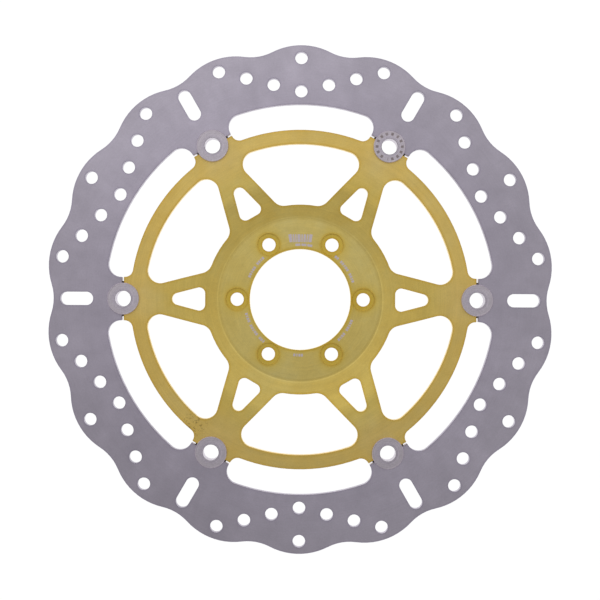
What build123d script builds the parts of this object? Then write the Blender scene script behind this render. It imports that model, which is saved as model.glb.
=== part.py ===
from build123d import *
import math
import os

# Floating front brake disc for a motorcycle, lying flat with its outer face up.
# Frame: origin at the centre of the hub's rear mounting face, +Z along the wheel
# axle towards the outer face, +X through the first drive button. Millimetres.

# Shared layout
drives = 6
drive_pitch_angle = 360 / drives
rear_of_plates = 6.0
front_of_plates = 11.0
button_radius_from_axis = 111.2

# Rotor (friction ring)
wave_count = 18
wave_peak_radius = 160.0
wave_lobe_radius = 40.0
wave_trough_radius = 30.0
rotor_inner_radius = 122.9
rotor_lug_end = 112.1
rotor_lug_half_width = 13.65
rotor_lug_fillet = 8.0
rotor_edge_break = 0.15
vent_hole_diameter = 8.0
# Each entry is distance from the axis and angle from the middle of its sector
vent_holes_in_half_sector = [(152.0, 20.0), (143.2, 14.0), (136.2, 7.33)]
vent_holes_on_middle_line = [152.0, 131.1]
slot_middle_radius = 140.6
slot_length = 20.8
slot_width = 8.4

# Carrier (hub, spokes and lugs)
hub_thickness = 6.0
bore_radius = 32.0
hub_flat_radius = 51.7
hub_rear_flat_radius = 49.5
cone_front_end_radius = 75.0
cone_rear_end_radius = 75.6
carrier_rim_radius = 106.8
carrier_lug_end = 110.9
carrier_lug_half_width = 13.7
carrier_lug_fillet = 5.0
lug_corner_radius = 0.4
window_inner_radius = 60.0
window_outer_radius = 97.9
window_corner_radius = 8.0
spoke_outer_half_width = 16.85
spoke_outer_taper = 14.6
spoke_window_apex = 91.6
spoke_window_half_angle = 15.0
spoke_window_corner = 3.8
wheel_bolt_circle = 80.0
wheel_bolt_hole = 8.5
bolt_seat_diameter = 14.0
bolt_seat_depth = 1.5
carrier_edge_break = 0.2
cone_inner_blend = 3.0
cone_outer_blend = 25.0
bolt_seat_chamfer = 0.2

# Drive buttons and what holds them
pocket_radius = 8.0
button_body_radius = 7.9
button_flange_radius = 10.0
button_flange_front = 13.0
button_rear_end = 2.0
button_bore_radius = 5.0
flange_chamfer = 0.3
bore_chamfer = 0.3
clip_rear = 2.6
clip_thickness = 1.0
clip_groove_radius = 7.2
clip_groove_width = 1.1
clip_inner_radius = 7.22
clip_outer_radius = 9.3
clip_gap = 4.0
clip_ear_radius = 1.7
clip_ear_hole = 1.4
clip_ear_inset = 0.2
washer_thickness = 1.0
washer_inner_radius = 8.1
washer_outer_radius = 11.2
spring_thickness = 0.4
spring_inner_radius = 8.2
spring_outer_radius = 10.0
spring_waves = 3
spring_end_play = 0.01
spring_points_per_wave = 8

# Construction allowances, none of which leaves a mark on a finished piece
lug_root_overlap = 8.0
past_the_rim = 150.0
past_the_lugs = 5.0
above_the_hub = 1.0
corner_match = 0.1
bend_match = 3.0
flat_match = 0.01


def polar(radius, angle):
    """Point in the disc's plane at a distance from the axle and an angle in degrees."""
    turn = math.radians(angle)
    return (radius * math.cos(turn), radius * math.sin(turn))


def wave_outline():
    """Closed outline of rounded lobes joined by tangent hollow arcs."""
    pitch = 360 / wave_count
    lobe_centre = wave_peak_radius - wave_lobe_radius
    half_pitch = math.radians(pitch / 2)
    centre_gap = wave_lobe_radius + wave_trough_radius
    across = lobe_centre * math.sin(half_pitch)
    along = lobe_centre * math.cos(half_pitch)
    trough_centre = along + math.sqrt(centre_gap**2 - across**2)
    trough_bottom = trough_centre - wave_trough_radius
    share = wave_lobe_radius / centre_gap
    joint_x = along + share * (trough_centre - along)
    joint_y = across * (1 - share)
    joint_radius = math.hypot(joint_x, joint_y)
    joint_angle = math.degrees(math.atan2(joint_y, joint_x))
    edges = []
    for index in range(wave_count):
        middle = index * pitch
        start = polar(joint_radius, middle - joint_angle)
        trough = polar(trough_bottom, middle)
        turn = polar(joint_radius, middle + joint_angle)
        peak = polar(wave_peak_radius, middle + pitch / 2)
        end = polar(joint_radius, middle + pitch - joint_angle)
        edges.append(ThreePointArc(start, trough, turn))
        edges.append(ThreePointArc(turn, peak, end))
    return make_face(Wire(edges))


def lug_block(inner, outer, half_width):
    """Flat rectangle for one lug on the +X axis."""
    middle = (inner + outer) / 2
    return Pos(middle, 0) * Rectangle(outer - inner, 2 * half_width)


def all_round(shape, count=drives):
    """Copies of a shape turned evenly about the axle."""
    return [Rot(0, 0, index * 360 / count) * shape for index in range(count)]


def corners_near(sketch, radius):
    """Corners of a sketch that lie at one distance from the axle."""
    found = []
    for vertex in sketch.vertices():
        if abs(math.hypot(vertex.X, vertex.Y) - radius) < corner_match:
            found.append(vertex)
    return found


def make_rotor():
    """Flat friction ring with six inward lugs, vent holes and slots."""
    opening = Circle(rotor_inner_radius)
    lug = lug_block(rotor_lug_end, rotor_inner_radius + lug_root_overlap, rotor_lug_half_width)
    opening = opening - all_round(lug)
    roots = corners_near(opening, rotor_inner_radius)
    opening = fillet(roots, rotor_lug_fillet)
    tip_distance = math.hypot(rotor_lug_end, rotor_lug_half_width)
    opening = fillet(corners_near(opening, tip_distance), lug_corner_radius)
    pocket = Pos(button_radius_from_axis, 0) * Circle(pocket_radius)
    opening = opening + all_round(pocket)
    plan = wave_outline() - opening
    hole = Circle(vent_hole_diameter / 2)
    holes = []
    for radius, angle in vent_holes_in_half_sector:
        for side in (-1, 1):
            middle = drive_pitch_angle / 2
            holes.append(Pos(*polar(radius, middle + side * angle)) * hole)
    for radius in vent_holes_on_middle_line:
        holes.append(Pos(*polar(radius, drive_pitch_angle / 2)) * hole)
    slot = Pos(slot_middle_radius, 0) * SlotOverall(slot_length, slot_width)
    cuts = []
    for cut in holes + [slot]:
        cuts.extend(all_round(cut))
    plan = plan - cuts
    thickness = front_of_plates - rear_of_plates
    body = Pos(0, 0, rear_of_plates) * extrude(plan, thickness)
    rims = []
    for edge in body.edges():
        if edge.bounding_box().size.Z < flat_match:
            rims.append(edge)
    return chamfer(rims, rotor_edge_break)


def big_window():
    """Opening between two neighbouring spokes."""
    slope = math.tan(math.radians(spoke_outer_taper))
    middle_slope = math.tan(math.radians(drive_pitch_angle / 2))
    start = spoke_outer_half_width + slope * window_inner_radius
    apex_x = start / (slope + middle_slope)
    apex = (apex_x, apex_x * middle_slope)
    lower = (past_the_rim, start - slope * past_the_rim)
    distance = math.hypot(*lower)
    lower_angle = math.degrees(math.atan2(lower[1], lower[0]))
    upper = polar(distance, drive_pitch_angle - lower_angle)
    far = polar(2 * past_the_rim, drive_pitch_angle / 2)
    wedge = make_face(Polyline(apex, lower, far, upper, close=True))
    band = Circle(window_outer_radius) - Circle(window_inner_radius)
    window = band & wedge
    return fillet(window.vertices(), window_corner_radius)


def spoke_window():
    """Small rounded triangle inside one V-shaped spoke on the +X axis."""
    base = window_inner_radius
    half_base = (spoke_window_apex - base) * math.tan(math.radians(spoke_window_half_angle))
    tip = (spoke_window_apex, 0)
    triangle = make_face(Polyline(tip, (base, half_base), (base, -half_base), close=True))
    return fillet(triangle.vertices(), spoke_window_corner)


def make_carrier():
    """Dished wheel carrier: hub, sloping spokes and a flat outer ring with six lugs."""
    plan = Sketch() + Circle(carrier_rim_radius)
    lug = lug_block(carrier_rim_radius - lug_root_overlap, carrier_lug_end, carrier_lug_half_width)
    plan = plan + all_round(lug)
    plan = fillet(corners_near(plan, carrier_rim_radius), carrier_lug_fillet)
    tip_distance = math.hypot(carrier_lug_end, carrier_lug_half_width)
    plan = fillet(corners_near(plan, tip_distance), lug_corner_radius)
    pocket = Pos(button_radius_from_axis, 0) * Circle(pocket_radius)
    bolt = Pos(wheel_bolt_circle / 2, 0) * Circle(wheel_bolt_hole / 2)
    plan = plan - Circle(bore_radius)
    cuts = all_round(pocket) + all_round(bolt)
    cuts = cuts + all_round(spoke_window()) + all_round(big_window())
    plan = plan - cuts
    prism = extrude(plan, front_of_plates)

    lug_reach = carrier_lug_end + past_the_lugs
    section = Polyline(
        (0, 0),
        (hub_rear_flat_radius, 0),
        (cone_rear_end_radius, rear_of_plates),
        (lug_reach, rear_of_plates),
        (lug_reach, front_of_plates),
        (cone_front_end_radius, front_of_plates),
        (hub_flat_radius, hub_thickness),
        (0, hub_thickness),
        close=True,
    )
    section = make_face(section)
    blends = ((hub_flat_radius, cone_inner_blend), (cone_rear_end_radius, cone_outer_blend))
    for radius, blend in blends:
        bends = []
        for vertex in section.vertices():
            if abs(vertex.X - radius) < bend_match:
                bends.append(vertex)
        section = fillet(bends, blend)
    dish = revolve(Plane.XZ * section, Axis.Z)
    body = dish & prism

    rims = []
    for edge in body.edges():
        box = edge.bounding_box()
        off_axle = math.hypot(box.center().X, box.center().Y)
        dish_bend = off_axle < flat_match and box.size.X > 2 * hub_rear_flat_radius - bend_match
        if box.size.Z < flat_match and not dish_bend:
            rims.append(edge)
    body = chamfer(rims, carrier_edge_break)

    seat_floor = hub_thickness - bolt_seat_depth
    seat_radius = bolt_seat_diameter / 2
    mouth_radius = seat_radius + bolt_seat_chamfer
    mouth_floor = hub_thickness - bolt_seat_chamfer
    hole_radius = wheel_bolt_hole / 2
    seat_section = Polyline(
        (0, seat_floor - carrier_edge_break),
        (hole_radius, seat_floor - carrier_edge_break),
        (hole_radius + carrier_edge_break, seat_floor),
        (seat_radius, seat_floor),
        (seat_radius, mouth_floor),
        (mouth_radius, hub_thickness),
        (mouth_radius, hub_thickness + above_the_hub),
        (0, hub_thickness + above_the_hub),
        close=True,
    )
    seat = revolve(Plane.XZ * make_face(seat_section), Axis.Z)
    return body - all_round(Pos(wheel_bolt_circle / 2, 0) * seat)


def make_button():
    """Flanged bush with a clip groove near its rear end."""
    section = Polyline(
        (button_bore_radius, button_rear_end + bore_chamfer),
        (button_bore_radius + bore_chamfer, button_rear_end),
        (button_body_radius, button_rear_end),
        (button_body_radius, clip_rear),
        (clip_groove_radius, clip_rear),
        (clip_groove_radius, clip_rear + clip_groove_width),
        (button_body_radius, clip_rear + clip_groove_width),
        (button_body_radius, front_of_plates),
        (button_flange_radius, front_of_plates),
        (button_flange_radius, button_flange_front - flange_chamfer),
        (button_flange_radius - flange_chamfer, button_flange_front),
        (button_bore_radius + bore_chamfer, button_flange_front),
        (button_bore_radius, button_flange_front - bore_chamfer),
        close=True,
    )
    return revolve(Plane.XZ * make_face(section), Axis.Z)


def ring(inner, outer, bottom, thickness):
    """Flat washer about the origin."""
    plan = Circle(outer) - Circle(inner)
    return Pos(0, 0, bottom) * extrude(plan, thickness)


def make_clip():
    """External snap ring with two pierced ears either side of its gap."""
    plan = Circle(clip_outer_radius) - Circle(clip_inner_radius)
    plan = plan - Pos(clip_outer_radius, 0) * Rectangle(2 * clip_outer_radius, clip_gap)
    reach = clip_outer_radius - clip_ear_inset
    spread = clip_gap / 2 + clip_ear_radius
    for side in (-1, 1):
        ear = Pos(reach, side * spread) * Circle(clip_ear_radius)
        hole = Pos(reach, side * spread) * Circle(clip_ear_hole / 2)
        plan = plan + (ear - Circle(clip_inner_radius))
        plan = plan - hole
    return Pos(0, 0, clip_rear) * extrude(plan, clip_thickness)


def wave_curve(radius, height, swing):
    """Closed curve round the button that rises and falls evenly."""
    steps = spring_waves * spring_points_per_wave
    points = []
    for step in range(steps):
        angle = 360 * step / steps
        x, y = polar(radius, angle)
        z = height + swing * math.cos(math.radians(spring_waves * angle))
        points.append((x, y, z))
    return Edge.make_spline(points, periodic=True)


def make_wave_spring():
    """Wave washer that pushes the rotor towards the button's flange."""
    bottom = clip_rear + clip_thickness + washer_thickness + spring_end_play
    top = rear_of_plates - spring_end_play
    middle = (bottom + top) / 2
    swing = (top - bottom - spring_thickness) / 2
    half = spring_thickness / 2
    inner_low = wave_curve(spring_inner_radius, middle - half, swing)
    inner_high = wave_curve(spring_inner_radius, middle + half, swing)
    outer_low = wave_curve(spring_outer_radius, middle - half, swing)
    outer_high = wave_curve(spring_outer_radius, middle + half, swing)
    faces = [
        Face.make_surface_from_curves(inner_low, outer_low),
        Face.make_surface_from_curves(inner_high, outer_high),
        Face.make_surface_from_curves(inner_low, inner_high),
        Face.make_surface_from_curves(outer_low, outer_high),
    ]
    return Solid(Shell(faces))


os.makedirs("parts", exist_ok=True)


def save(shape, name):
    shape.label = name
    export_step(shape, f"parts/{name}.step")
    box = shape.bounding_box()
    print(name, len(shape.solids()), round(shape.volume, 2), shape.is_valid, box.min, box.max)


save(make_carrier(), "carrier")
save(make_rotor(), "rotor")
small_parts = {
    "button": make_button(),
    "wave_spring": make_wave_spring(),
    "thrust_washer": ring(
        washer_inner_radius,
        washer_outer_radius,
        clip_rear + clip_thickness,
        washer_thickness,
    ),
    "retaining_clip": make_clip(),
}
for kind, shape in small_parts.items():
    for index in range(drives):
        placed = Rot(0, 0, index * drive_pitch_angle) * Pos(button_radius_from_axis, 0) * shape
        save(placed, f"{kind}_{index + 1}")
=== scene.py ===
import math
import bpy
import bmesh
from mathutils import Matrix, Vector

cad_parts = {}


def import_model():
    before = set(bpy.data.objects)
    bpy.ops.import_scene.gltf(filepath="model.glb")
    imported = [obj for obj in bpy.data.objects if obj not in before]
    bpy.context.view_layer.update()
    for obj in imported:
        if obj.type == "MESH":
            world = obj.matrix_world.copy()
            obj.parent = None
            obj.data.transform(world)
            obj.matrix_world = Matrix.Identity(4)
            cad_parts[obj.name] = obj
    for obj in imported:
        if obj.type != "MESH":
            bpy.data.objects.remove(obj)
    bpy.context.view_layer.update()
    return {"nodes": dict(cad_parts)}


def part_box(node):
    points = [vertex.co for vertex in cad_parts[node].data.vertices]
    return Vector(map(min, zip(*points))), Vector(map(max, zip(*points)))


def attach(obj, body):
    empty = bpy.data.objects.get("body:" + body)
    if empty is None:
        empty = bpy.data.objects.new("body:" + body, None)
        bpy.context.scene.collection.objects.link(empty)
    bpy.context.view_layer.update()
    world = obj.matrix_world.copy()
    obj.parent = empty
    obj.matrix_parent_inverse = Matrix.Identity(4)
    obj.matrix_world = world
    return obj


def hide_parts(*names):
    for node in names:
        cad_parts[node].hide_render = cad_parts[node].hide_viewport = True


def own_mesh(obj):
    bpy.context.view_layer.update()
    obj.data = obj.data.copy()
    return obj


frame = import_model()
scene = bpy.context.scene

MM = 0.001

# Sizes of the disc in metres
DRIVES = 6
BUTTON_RADIUS = 111.2 * MM
FACE_Z = 11.0 * MM
HUB_Z = 6.0 * MM
ETCH_HEIGHT = 0.03 * MM

# Wave springs
WAVES = 3
WAVE_STEPS = 96
SPRING_WIDTH = 1.8 * MM
SPRING_HALF_THICKNESS = 0.2 * MM
SPRING_EDGE_EASE = 0.07 * MM

# Shaders work in millimetres: zones and marks of the carrier, by distance from the axle
BORE_EDGE = 32.0
BORE_TONE_END = 35.0
BOLT_CIRCLE_RADIUS = 40.0
SEAT_WALL = 7.0
# Painted shadow and painted highlight where the flat hub turns into the cone
PAINTED_SHADOW_RADIUS = 51.2
PAINTED_HIGHLIGHT_RADIUS = 52.3
HUB_TO_CONE = (50.5, 53.5)
CONE_TO_RING = (80.0, 99.0)
CONE_MIDDLE = 76.0
LUG_PAD_RADIUS = 97.0
SCUFFS_X = -66.0
SCUFFS_Y = -79.0

# Sides of the axle on which a face gets painted light or painted shade, as cosine and sine of a direction
PAINTED_LIGHT_CONE_SIDE = (0.5, -0.87)
PAINTED_SHADE_ROTOR_SIDES = ((-0.90, -0.43), (0.85, 0.53))
ROTOR_INNER_EDGE = 122.0
ROTOR_CRESTS = 160.0

# Buttons, by distance from their own axis
BUTTON_BORE_EDGE = 5.0
BUTTON_RING_MARK = 6.0
BUTTON_STAMP_RADIUS = 7.9
# Painted highlight at the outer edge of the flange
BUTTON_PAINTED_HIGHLIGHT_RIM = 9.9
BUTTON_OUTSIDE = 10.0
STAMPED_BUTTON = 1
STAMPED_TICKS = 14

# Etched marks on the hub, in millimetres and degrees
TICK_WIDTHS = (2.0, 0.9, 0.9, 2.0, 0.9, 1.4, 0.9, 2.0)
TICK_BLOCK_WIDTH = 14.6
TICK_BLOCK_FOOT = 36.3
TICK_HEIGHT = 5.0
ROW_RADIUS = 34.7
ROW_OFFSETS = (-1.6, 2.2, 6.0)
ROW_DASH_LENGTH = 3.2
ROW_DASH_WIDTH = 1.5
RUNS = ((18, 52), (131, 156), (194, 231), (263, 277), (313, 341))
RUN_RADIUS = 35.2
RUN_PITCH = 2.6
RUN_DASH_LENGTHS = (1.3, 0.8, 1.2)
RUN_DASH_WIDTH = 1.7
DASHES_PER_WORD = 6

# Stage
FLOOR_HALF_SIZE = 30.0
FLOOR_DROP = 0.05 * MM
PANEL_HALF_SIZE = 1.3
PANEL_HEIGHT = 0.55
PANEL_BRIGHT_SIDE = (-0.13, 0.985, 0.0)
PANEL_DIM = 0.30
PANEL_BRIGHT = 0.84
SKY_STRENGTH = 0.38
CAMERA_DISTANCE = 0.8
CAMERA_OFFSET_X = -0.0001
CAMERA_OFFSET_Y = -0.00028
CAMERA_TURN = 0.32
CAMERA_LENS = 76.34


# ---------------------------------------------------------------- node helpers
class Nodes:
    """Small helper that builds and wires shader nodes in one material."""

    def __init__(self, name):
        self.mat = bpy.data.materials.new(name)
        self.mat.use_nodes = True
        self.tree = self.mat.node_tree
        self.tree.nodes.clear()
        self.out = self.add("ShaderNodeOutputMaterial")
        self.bsdf = self.add("ShaderNodeBsdfPrincipled")
        self.link(self.bsdf.outputs[0], self.out.inputs[0])

    def add(self, kind, **values):
        node = self.tree.nodes.new(kind)
        for key, value in values.items():
            setattr(node, key, value)
        return node

    def link(self, a, b):
        self.tree.links.new(a, b)

    def math(self, op, a, b=None, c=None, clamp=False):
        node = self.add("ShaderNodeMath", operation=op, use_clamp=clamp)
        for index, value in enumerate((a, b, c)):
            if value is None:
                continue
            if isinstance(value, (int, float)):
                node.inputs[index].default_value = value
            else:
                self.link(value, node.inputs[index])
        return node.outputs[0]

    def vector(self, x, y, z):
        node = self.add("ShaderNodeCombineXYZ")
        for index, value in enumerate((x, y, z)):
            if isinstance(value, (int, float)):
                node.inputs[index].default_value = value
            else:
                self.link(value, node.inputs[index])
        return node.outputs[0]

    def noise(self, vector, scale=1.0, detail=2.0, rough=0.5):
        node = self.add("ShaderNodeTexNoise")
        node.inputs["Scale"].default_value = scale
        node.inputs["Detail"].default_value = detail
        node.inputs["Roughness"].default_value = rough
        self.link(vector, node.inputs["Vector"])
        return node.outputs["Fac"]

    def span(self, value, low, high, to_low, to_high, smooth=False):
        node = self.add("ShaderNodeMapRange")
        node.interpolation_type = "SMOOTHSTEP" if smooth else "LINEAR"
        node.clamp = True
        self.link(value, node.inputs["Value"])
        node.inputs["From Min"].default_value = low
        node.inputs["From Max"].default_value = high
        node.inputs["To Min"].default_value = to_low
        node.inputs["To Max"].default_value = to_high
        return node.outputs[0]

    def mix(self, factor, a, b, blend="MIX"):
        node = self.add("ShaderNodeMix", data_type="RGBA", blend_type=blend)
        for key, value in ((0, factor), (6, a), (7, b)):
            if isinstance(value, (int, float)):
                node.inputs[key].default_value = value
            elif isinstance(value, tuple):
                node.inputs[key].default_value = (*value, 1.0)
            else:
                self.link(value, node.inputs[key])
        return node.outputs[2]

    def tint(self, colour, factor, shade):
        """Colour multiplied by a shade, as strongly as the factor says."""
        return self.mix(factor, colour, shade, "MULTIPLY")

    def grain(self, colour, value, spread):
        """Colour made lighter and darker by a noise, evenly about its own level."""
        node = self.add("ShaderNodeVectorMath", operation="SCALE")
        self.link(colour, node.inputs[0])
        self.link(self.span(value, 0.3, 0.7, 1.0 - spread, 1.0 + spread), node.inputs["Scale"])
        return node.outputs[0]

    def place(self, centre=(0.0, 0.0)):
        """Object position in millimetres, measured from a centre."""
        coords = self.add("ShaderNodeTexCoord").outputs["Object"]
        shift = self.add("ShaderNodeVectorMath", operation="SUBTRACT")
        shift.inputs[1].default_value = (centre[0], centre[1], 0)
        self.link(coords, shift.inputs[0])
        grow = self.add("ShaderNodeVectorMath", operation="SCALE")
        grow.inputs["Scale"].default_value = 1 / MM
        self.link(shift.outputs[0], grow.inputs[0])
        return grow.outputs[0]

    def length(self, x, y):
        squares = self.math("ADD", self.math("MULTIPLY", x, x), self.math("MULTIPLY", y, y))
        return self.math("SQRT", squares)

    def toward(self, cos, sin, side):
        """How nearly a direction round the axle points to a side: 1 fully, -1 away from it."""
        return self.math("ADD", self.math("MULTIPLY", cos, side[0]), self.math("MULTIPLY", sin, side[1]))

    def polar(self, centre=(0.0, 0.0)):
        """Distance from an axis in millimetres, direction round it, and x, y and z."""
        split = self.add("ShaderNodeSeparateXYZ")
        self.link(self.place(centre), split.inputs[0])
        x, y, z = split.outputs
        r = self.length(x, y)
        return r, self.math("DIVIDE", x, r), self.math("DIVIDE", y, r), x, y, z

    def rings(self, r, cos, sin, per_mm, round_scale, detail=2.0, rough=0.55):
        """Noise drawn out round the axis, as a lathe tool leaves it."""
        where = self.vector(
            self.math("MULTIPLY", cos, round_scale),
            self.math("MULTIPLY", sin, round_scale),
            self.math("MULTIPLY", r, per_mm),
        )
        return self.noise(where, 1.0, detail, rough)

    def sixfold(self, x, y, out):
        """Distance to the nearest of six points spaced evenly at one radius."""
        sector = math.radians(360 / DRIVES)
        angle = self.math("ARCTAN2", y, x)
        folded = self.math("PINGPONG", angle, sector / 2)
        r = self.length(x, y)
        along = self.math("SUBTRACT", self.math("MULTIPLY", r, self.math("COSINE", folded)), out)
        return self.length(along, self.math("MULTIPLY", r, self.math("SINE", folded)))

    def band(self, value, middle, half_width, soft):
        """1 within half_width of the middle, falling to 0 over the soft distance."""
        off = self.math("ABSOLUTE", self.math("SUBTRACT", value, middle))
        return self.span(off, half_width, half_width + soft, 1.0, 0.0, True)

    def ticks(self, r, x, y, count, middle, half_height):
        """1 on short marks spaced evenly round an axis, some of them worn away."""
        turn = self.math("MULTIPLY", self.math("ARCTAN2", y, x), count)
        across = self.span(self.math("COSINE", turn), 0.0, 0.3, 0.0, 1.0)
        direction = self.vector(self.math("DIVIDE", x, r), self.math("DIVIDE", y, r), 0.0)
        keep = self.span(self.noise(direction, 2.2, 2.0), 0.36, 0.40, 0.0, 1.0)
        along = self.band(r, middle, half_height, 0.2)
        return self.math("MULTIPLY", self.math("MULTIPLY", across, keep), along)

    def side(self):
        """1 on walls that run along the axle, 0 on faces square to it."""
        split = self.add("ShaderNodeSeparateXYZ")
        self.link(self.add("ShaderNodeTexCoord").outputs["Normal"], split.inputs[0])
        return self.span(self.math("ABSOLUTE", split.outputs[2]), 0.3, 0.8, 1.0, 0.0)

    def near_edge(self, distance):
        """1 close to an outer edge of the solid, 0 a little way in from it."""
        node = self.add("ShaderNodeAmbientOcclusion", samples=8, inside=True, only_local=True)
        node.inputs["Distance"].default_value = distance
        return self.span(node.outputs["AO"], 0.5, 1.0, 1.0, 0.0)

    def bump(self, height, distance, strength):
        node = self.add("ShaderNodeBump")
        node.inputs["Strength"].default_value = strength
        node.inputs["Distance"].default_value = distance
        self.link(height, node.inputs["Height"])
        self.link(node.outputs[0], self.bsdf.inputs["Normal"])

    def brushed_round(self):
        """Stretches highlights across marks that run round the axle."""
        tangent = self.add("ShaderNodeTangent", direction_type="RADIAL", axis="Z")
        self.link(tangent.outputs[0], self.bsdf.inputs["Tangent"])


def metal(n, roughness, anisotropic=0.0):
    sockets = n.bsdf.inputs
    sockets["Metallic"].default_value = 1.0
    sockets["Roughness"].default_value = roughness
    sockets["Anisotropic"].default_value = anisotropic


# ---------------------------------------------------------------- materials
def anodising(n, r, cos, sin, fine):
    """Gold by zone, in the patches it varies in, with the rings that a lathe leaves."""
    hub, cone, ring = (0.815, 0.650, 0.214), (0.835, 0.630, 0.172), (0.880, 0.640, 0.190)
    deep, pale = (0.96, 0.93, 0.84), (0.97, 1.00, 1.12)
    where = n.place()
    # Partly painted reflection: the flat hub gets a greener gold than the sloped cone and the ring
    base = n.mix(n.span(r, *HUB_TO_CONE, 0.0, 1.0), hub, cone)
    base = n.mix(n.span(r, *CONE_TO_RING, 0.0, 1.0), base, ring)
    base = n.tint(base, n.span(n.noise(where, 0.045, 3.0, 0.6), 0.42, 0.64, 0.0, 0.85), deep)
    elsewhere = n.place((0.2, 0.1))
    base = n.tint(base, n.span(n.noise(elsewhere, 0.038, 3.0, 0.6), 0.48, 0.66, 0.0, 1.0), pale)
    base = n.grain(base, n.noise(where, 0.16, 3.0, 0.6), 0.035)
    base = n.grain(base, n.rings(r, cos, sin, 0.55, 0.7), 0.025)
    base = n.grain(base, fine, 0.05)
    return n.grain(base, n.noise(where, 1.1, 2.0, 0.6), 0.04)


def carrier_painted_light_and_pale_pads(n, base, r, cos, sin, x, y):
    """Painted light makes the cone a little brighter on one side, and the lug pads are a little paler."""
    # Painted light on one side of the cone
    facing = n.span(n.toward(cos, sin, PAINTED_LIGHT_CONE_SIDE), 0.6, 1.0, 0.0, 1.0, True)
    painted_lit_side = n.math("MULTIPLY", facing, n.band(r, CONE_MIDDLE, 10.0, 8.0))
    base = n.tint(base, painted_lit_side, (1.09, 1.10, 1.10))
    pad = n.sixfold(x, y, LUG_PAD_RADIUS)
    return n.tint(base, n.span(pad, 6.0, 15.0, 0.7, 0.0), (0.97, 1.00, 1.18))


def painted_highlight_and_shadow(n, base, r):
    """Painted highlight: a thin bright line where the flat hub turns into the cone, with a painted shadow
    inside it.
    """
    base = n.tint(base, n.band(r, PAINTED_SHADOW_RADIUS, 0.5, 0.5), (0.95, 0.94, 0.90))
    return n.tint(base, n.band(r, PAINTED_HIGHLIGHT_RADIUS, 0.25, 0.3), (1.09, 1.10, 1.12))


def carrier_deep_tone_painted_shade_and_reflection(n, base, r, x, y):
    """Deeper colour round the bore; painted shade in and around the bolt seats and along every edge;
    painted reflection makes the walls paler.
    """
    # Deeper tone round the bore, painted shade for the seats and edges, painted reflection for the walls
    deep_tone_and_shade, painted_edge_shade, painted_wall_reflection = (1.0, 0.93, 0.55), (0.96, 0.90, 0.68), (1.04, 1.08, 1.30)
    seat = n.sixfold(x, y, BOLT_CIRCLE_RADIUS)
    base = n.tint(base, n.span(r, BORE_EDGE, BORE_TONE_END, 0.8, 0.0), deep_tone_and_shade)
    # Painted shade in the recessed bolt seats: deeper colour on the floor fading out round it, and a
    # darker ring at the seat wall
    base = n.tint(base, n.span(seat, SEAT_WALL + 0.5, SEAT_WALL + 6.0, 0.5, 0.0), deep_tone_and_shade)
    base = n.tint(base, n.span(seat, SEAT_WALL - 0.3, SEAT_WALL, 0.75, 0.0), deep_tone_and_shade)
    # Painted shade along the edges
    wall = n.side()
    shaded_rim = n.math("MULTIPLY", n.near_edge(1.8 * MM), n.math("SUBTRACT", 1.0, wall))
    base = n.tint(base, n.span(shaded_rim, 0.0, 0.55, 0.0, 1.0), painted_edge_shade)
    # Painted reflection makes the walls paler
    return n.tint(base, wall, painted_wall_reflection)


def scuffs(n, base, x, y):
    """A few dark scuffs on the ring beside the fifth button."""
    off = n.length(n.math("SUBTRACT", x, SCUFFS_X), n.math("SUBTRACT", y, SCUFFS_Y))
    near = n.span(off, 4.0, 10.0, 1.0, 0.0)
    dots = n.span(n.noise(n.place(), 0.75, 3.0, 0.6), 0.56, 0.64, 0.0, 1.0)
    return n.tint(base, n.math("MULTIPLY", near, dots), (0.55, 0.52, 0.50))


def carrier_material():
    """Gold anodised aluminium: turned ring, dished cone, flat hub with bolt seats."""
    n = Nodes("carrier_gold")
    metal(n, 0.42, 0.35)
    r, cos, sin, x, y, _ = n.polar()
    fine = n.rings(r, cos, sin, 2.6, 2.4, 3.0, 0.65)
    base = anodising(n, r, cos, sin, fine)
    base = carrier_painted_light_and_pale_pads(n, base, r, cos, sin, x, y)
    base = painted_highlight_and_shadow(n, base, r)
    base = carrier_deep_tone_painted_shade_and_reflection(n, base, r, x, y)
    base = scuffs(n, base, x, y)
    n.link(base, n.bsdf.inputs["Base Color"])
    n.link(n.span(fine, 0.3, 0.7, 0.36, 0.48), n.bsdf.inputs["Roughness"])
    n.brushed_round()
    n.bump(fine, 0.006 * MM, 0.6)
    return n.mat


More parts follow.
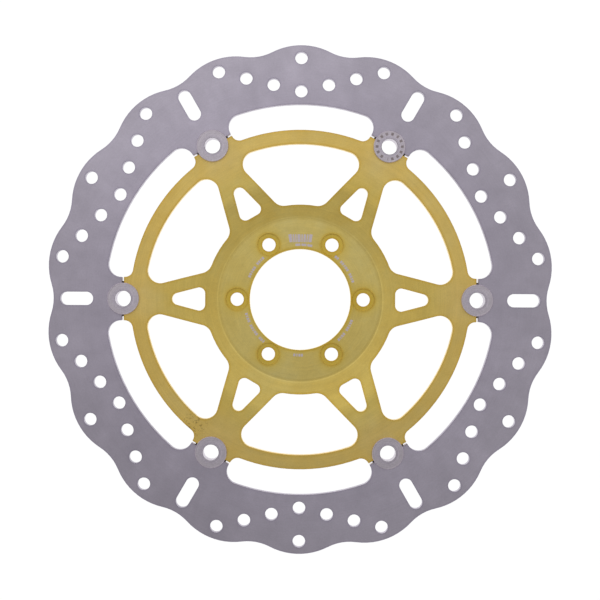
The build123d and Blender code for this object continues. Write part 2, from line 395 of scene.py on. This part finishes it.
def rotor_material():
    """Ground stainless steel, cloudy from handling, with laser-cut walls."""
    inner, outer = (0.560, 0.512, 0.612), (0.572, 0.526, 0.616)
    # Painted shade for two broad sides of the steel
    painted_side_shades = ((0.88, 0.875, 0.88), (0.91, 0.91, 0.91))
    # Laser-cut walls darker by their grooves, and painted shade along the edges
    dark_cut, painted_rim_shade = (0.72, 0.72, 0.74), (0.86, 0.85, 0.90)
    n = Nodes("rotor_steel")
    metal(n, 0.4, 0.3)
    r, cos, sin, x, y, z = n.polar()
    where = n.place()
    base = n.mix(n.span(r, ROTOR_INNER_EDGE, ROTOR_CRESTS, 0.0, 1.0), inner, outer)
    # Painted shade darkens two broad sides, then clouds, faint spokes of grinding and fine rings
    for side, one_side_shade in zip(PAINTED_SHADE_ROTOR_SIDES, painted_side_shades):
        facing = n.toward(cos, sin, side)
        base = n.tint(base, n.span(facing, 0.35, 1.0, 0.0, 1.0, True), one_side_shade)
    base = n.grain(base, n.noise(where, 0.035, 4.0, 0.6), 0.06)
    base = n.grain(base, n.noise(where, 0.12, 3.0, 0.6), 0.035)
    base = n.grain(base, n.rings(r, cos, sin, 0.035, 13.0, 3.0, 0.6), 0.035)
    fine = n.rings(r, cos, sin, 2.2, 6.0, 4.0, 0.7)
    base = n.grain(base, fine, 0.045)
    base = n.grain(base, n.noise(where, 1.0, 2.0, 0.6), 0.04)
    # Walls carry the upright grooves of the laser, and painted shade makes edges a little darker
    wall = n.side()
    grooves = n.vector(n.math("MULTIPLY", x, 2.4), n.math("MULTIPLY", y, 2.4), n.math("MULTIPLY", z, 0.25))
    cut = n.noise(grooves)
    base = n.tint(base, n.math("MULTIPLY", wall, n.span(cut, 0.35, 0.65, 0.0, 0.8)), dark_cut)
    base = n.tint(base, n.span(n.near_edge(1.5 * MM), 0.1, 0.9, 0.0, 1.0), painted_rim_shade)
    n.link(base, n.bsdf.inputs["Base Color"])
    n.link(n.span(fine, 0.3, 0.7, 0.34, 0.46), n.bsdf.inputs["Roughness"])
    n.brushed_round()
    n.bump(n.mix(wall, fine, cut), 0.005 * MM, 0.6)
    return n.mat


def button_material(index):
    """Turned steel drive button with lathe rings; one has stamped ticks on its flange."""
    inside, outside = (0.625, 0.570, 0.650), (0.618, 0.560, 0.620)
    # Painted highlight for the flange rim, a darker turned ring and stamped marks
    painted_rim_highlight, dark_ring, stamped = (1.25, 1.22, 1.25), (0.90, 0.89, 0.92), (0.52, 0.48, 0.45)
    n = Nodes(f"button_steel_{index + 1}")
    metal(n, 0.36, 0.3)
    turn = math.radians(index * 360 / DRIVES)
    centre = (BUTTON_RADIUS * math.cos(turn), BUTTON_RADIUS * math.sin(turn))
    r, cos, sin, x, y, _ = n.polar(centre)
    turning = n.rings(r, cos, sin, 1.3, 0.5, 3.0, 0.6)
    base = n.mix(n.span(r, BUTTON_BORE_EDGE, BUTTON_OUTSIDE, 0.0, 1.0), inside, outside)
    base = n.grain(base, turning, 0.12)
    base = n.grain(base, n.rings(r, cos, sin, 3.4, 1.5, 2.0, 0.6), 0.06)
    base = n.grain(base, n.noise(n.place(centre), 0.9, 3.0, 0.6), 0.09)
    # Painted highlight: a bright band at the outer edge of the flange
    base = n.tint(base, n.band(r, BUTTON_PAINTED_HIGHLIGHT_RIM, 0.2, 0.2), painted_rim_highlight)
    base = n.tint(base, n.band(r, BUTTON_RING_MARK, 0.15, 0.25), dark_ring)
    if index == STAMPED_BUTTON:
        marks = n.ticks(r, x, y, STAMPED_TICKS, BUTTON_STAMP_RADIUS, 0.8)
        base = n.tint(base, marks, stamped)
    n.link(base, n.bsdf.inputs["Base Color"])
    n.link(n.span(turning, 0.3, 0.7, 0.28, 0.44), n.bsdf.inputs["Roughness"])
    n.bump(turning, 0.03 * MM, 0.6)
    return n.mat


def dark_steel(name, light, dark, roughness):
    """Small blackened or oiled steel part with a fine mottle."""
    n = Nodes(name)
    metal(n, roughness)
    speck = n.noise(n.place(), 1.1, 4.0, 0.65)
    n.link(n.mix(n.span(speck, 0.35, 0.65, 0.0, 1.0), dark, light), n.bsdf.inputs["Base Color"])
    n.link(n.span(speck, 0.3, 0.7, roughness - 0.06, roughness + 0.08), n.bsdf.inputs["Roughness"])
    n.bump(speck, 0.01 * MM, 0.5)
    return n.mat


def wave_ring(middle, outer, swing, first):
    """Mesh of a flat ring that rises and falls as it goes round, starting at an angle."""
    inner, half, ease = outer - SPRING_WIDTH, SPRING_HALF_THICKNESS, SPRING_EDGE_EASE
    section = (
        (inner + ease, -half), (outer - ease, -half), (outer, ease - half), (outer, half - ease),
        (outer - ease, half), (inner + ease, half), (inner, half - ease), (inner, ease - half),
    )
    mesh = bmesh.new()
    rows = []
    for step in range(WAVE_STEPS):
        angle = step * 2 * math.pi / WAVE_STEPS
        rise = middle.z + swing * math.cos(WAVES * angle)
        cos, sin = math.cos(first + angle), math.sin(first + angle)
        row = []
        for r, dz in section:
            row.append(mesh.verts.new((middle.x + r * cos, middle.y + r * sin, rise + dz)))
        rows.append(row)
    for step, row in enumerate(rows):
        after = rows[(step + 1) % WAVE_STEPS]
        for corner in range(len(section)):
            other = (corner + 1) % len(section)
            mesh.faces.new((row[corner], after[corner], after[other], row[other]))
    bmesh.ops.recalc_face_normals(mesh, faces=mesh.faces)
    return mesh


def wave_washer(index, mat):
    """Wave spring, built as a wavy ring in place of the CAD spring, which is hidden."""
    node = f"wave_spring_{index + 1}"
    low, high = (Vector(corner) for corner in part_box(node))
    middle = (low + high) / 2
    swing = (high.z - low.z) / 2 - SPRING_HALF_THICKNESS
    mesh = wave_ring(middle, (high.x - low.x) / 2, swing, index * 2 * math.pi / DRIVES)
    data = bpy.data.meshes.new(f"wave_washer_{index + 1}")
    mesh.to_mesh(data)
    mesh.free()
    obj = bpy.data.objects.new(f"wave_washer_{index + 1}", data)
    scene.collection.objects.link(obj)
    data.materials.append(mat)
    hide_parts(node)
    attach(obj, "carrier")
    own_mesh(obj)


def put(node, mat):
    """Gives a CAD node its material."""
    obj = frame["nodes"][node]
    for slot in obj.material_slots:
        slot.material = mat


put("carrier", carrier_material())
put("rotor", rotor_material())
washer = dark_steel("dark_steel", (0.05, 0.05, 0.055), (0.025, 0.025, 0.03), 0.5)
spring = dark_steel("spring_steel", (0.45, 0.43, 0.40), (0.30, 0.29, 0.28), 0.32)
clip = dark_steel("clip_steel", (0.12, 0.12, 0.12), (0.06, 0.06, 0.065), 0.45)
for k in range(DRIVES):
    put(f"button_{k + 1}", button_material(k))
    put(f"thrust_washer_{k + 1}", washer)
    wave_washer(k, spring)
    put(f"retaining_clip_{k + 1}", clip)


# ---------------------------------------------------------------- etched marks on the hub
def etch_material():
    """Pale lilac-grey of laser-bleached anodising, slightly uneven."""
    n = Nodes("etched_gold")
    metal(n, 0.55)
    where = n.place()
    base = n.mix(n.noise(where, 1.3, 3.0, 0.6), (0.66, 0.575, 0.60), (0.86, 0.755, 0.80))
    n.link(base, n.bsdf.inputs["Base Color"])
    n.bump(n.noise(where, 4.0, 2.0, 0.6), 0.01 * MM, 0.5)
    return n.mat


def etched_plate(mesh, radius, angle, along, across):
    """Adds one thin raised rectangle, its long side round the bore at a radius and angle."""
    out = Vector((math.cos(angle), math.sin(angle), 0))
    side = Vector((-out.y, out.x, 0))
    centre = out * radius
    low, high = [], []
    for u, v in ((-1, -1), (1, -1), (1, 1), (-1, 1)):
        corner = centre + side * (u * along / 2) + out * (v * across / 2)
        low.append(mesh.verts.new((corner.x, corner.y, HUB_Z - ETCH_HEIGHT)))
        high.append(mesh.verts.new((corner.x, corner.y, HUB_Z + ETCH_HEIGHT)))
    mesh.faces.new(list(reversed(low)))
    mesh.faces.new(high)
    for index in range(4):
        after = (index + 1) % 4
        mesh.faces.new((low[index], low[after], high[after], high[index]))


def angle_beside_top(offset, height):
    """Direction from the axle of a point at a height along +Y and an offset beside it."""
    return math.pi / 2 - math.atan2(offset, height)


def tick_block(mesh):
    """Upright bars of unlike widths, side by side above the bore."""
    gap = (TICK_BLOCK_WIDTH - sum(TICK_WIDTHS)) / (len(TICK_WIDTHS) - 1)
    radius = (TICK_BLOCK_FOOT + TICK_HEIGHT / 2) * MM
    position = -TICK_BLOCK_WIDTH / 2
    for width in TICK_WIDTHS:
        offset = (position + width / 2) * MM
        angle = angle_beside_top(offset, radius)
        etched_plate(mesh, math.hypot(offset, radius), angle, width * MM, TICK_HEIGHT * MM)
        position += width + gap


def dash_row(mesh):
    """Three dashes between the tick block and the bore."""
    for offset in ROW_OFFSETS:
        angle = angle_beside_top(offset * MM, ROW_RADIUS * MM)
        etched_plate(mesh, ROW_RADIUS * MM, angle, ROW_DASH_LENGTH * MM, ROW_DASH_WIDTH * MM)


def dash_runs(mesh):
    """Runs of short dashes round the bore, with a gap after each few, as between words."""
    for start, end in RUNS:
        for index in range(round((end - start) / RUN_PITCH)):
            if index % DASHES_PER_WORD == DASHES_PER_WORD - 2:
                continue
            angle = math.radians(start + (index + 0.5) * RUN_PITCH)
            length = RUN_DASH_LENGTHS[index % len(RUN_DASH_LENGTHS)] * MM
            etched_plate(mesh, RUN_RADIUS * MM, angle, length, RUN_DASH_WIDTH * MM)


def hub_etching():
    """Plain marks in place of lettering: a tick block and short dashes round the bore."""
    mesh = bmesh.new()
    tick_block(mesh)
    dash_row(mesh)
    dash_runs(mesh)
    data = bpy.data.meshes.new("hub_etching")
    mesh.to_mesh(data)
    mesh.free()
    obj = bpy.data.objects.new("hub_etching", data)
    scene.collection.objects.link(obj)
    data.materials.append(etch_material())
    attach(obj, "carrier")


hub_etching()


# ---------------------------------------------------------------- floor, light, camera
def floor():
    """White table, lit so that the disc lies on plain white, and open to a view from below."""
    mesh = bpy.data.meshes.new("floor")
    size, drop = FLOOR_HALF_SIZE, -FLOOR_DROP
    corners = [(-size, -size, drop), (size, -size, drop), (size, size, drop), (-size, size, drop)]
    mesh.from_pydata(corners, [], [(0, 1, 2, 3)])
    obj = bpy.data.objects.new("floor", mesh)
    scene.collection.objects.link(obj)
    n = Nodes("floor_white")
    n.bsdf.inputs["Base Color"].default_value = (0.05, 0.05, 0.05, 1)
    n.bsdf.inputs["Roughness"].default_value = 1.0
    n.bsdf.inputs["Specular IOR Level"].default_value = 0.0
    n.bsdf.inputs["Emission Color"].default_value = (1, 1, 1, 1)
    n.bsdf.inputs["Emission Strength"].default_value = 1.0
    choose = n.add("ShaderNodeMixShader")
    n.link(n.add("ShaderNodeNewGeometry").outputs["Backfacing"], choose.inputs[0])
    n.link(n.bsdf.outputs[0], choose.inputs[1])
    n.link(n.add("ShaderNodeBsdfTransparent").outputs[0], choose.inputs[2])
    n.link(choose.outputs[0], n.out.inputs[0])
    mesh.materials.append(n.mat)


floor()


def soft_box():
    """Wide overhead panel that the camera looks through, brighter towards +Y and a little to -X."""
    mesh = bpy.data.meshes.new("soft_box")
    size, height = PANEL_HALF_SIZE, PANEL_HEIGHT
    corners = [(-size, -size, height), (-size, size, height), (size, size, height), (size, -size, height)]
    mesh.from_pydata(corners, [], [(0, 1, 2, 3)])
    obj = bpy.data.objects.new("soft_box", mesh)
    scene.collection.objects.link(obj)
    mat = bpy.data.materials.new("soft_box")
    mat.use_nodes = True
    tree = mat.node_tree
    tree.nodes.clear()
    surface = tree.nodes.new("ShaderNodeOutputMaterial")
    glow = tree.nodes.new("ShaderNodeEmission")
    tree.links.new(glow.outputs[0], surface.inputs[0])
    coords = tree.nodes.new("ShaderNodeTexCoord")
    along = tree.nodes.new("ShaderNodeVectorMath")
    along.operation = "DOT_PRODUCT"
    along.inputs[1].default_value = PANEL_BRIGHT_SIDE
    tree.links.new(coords.outputs["Object"], along.inputs[0])
    ramp = tree.nodes.new("ShaderNodeMapRange")
    ramp.inputs["From Min"].default_value = -0.5
    ramp.inputs["From Max"].default_value = 0.5
    ramp.inputs["To Min"].default_value = PANEL_DIM
    ramp.inputs["To Max"].default_value = PANEL_BRIGHT
    tree.links.new(along.outputs["Value"], ramp.inputs["Value"])
    tree.links.new(ramp.outputs[0], glow.inputs["Strength"])
    mesh.materials.append(mat)
    obj.visible_camera = False


soft_box()


def world():
    """Even white light from all round."""
    studio = bpy.data.worlds.new("studio")
    scene.world = studio
    studio.use_nodes = True
    background = studio.node_tree.nodes["Background"]
    background.inputs["Color"].default_value = (1, 1, 1, 1)
    background.inputs["Strength"].default_value = SKY_STRENGTH


world()


def camera():
    """Long lens straight above the disc."""
    data = bpy.data.cameras.new("camera")
    obj = bpy.data.objects.new("camera", data)
    scene.collection.objects.link(obj)
    scene.camera = obj
    data.sensor_width = 36.0
    data.lens = CAMERA_LENS
    data.clip_start = 0.01
    obj.location = (CAMERA_OFFSET_X, CAMERA_OFFSET_Y, FACE_Z + CAMERA_DISTANCE)
    obj.rotation_euler = (0, 0, math.radians(CAMERA_TURN))


camera()

scene.view_settings.view_transform = "Standard"
scene.view_settings.look = "None"
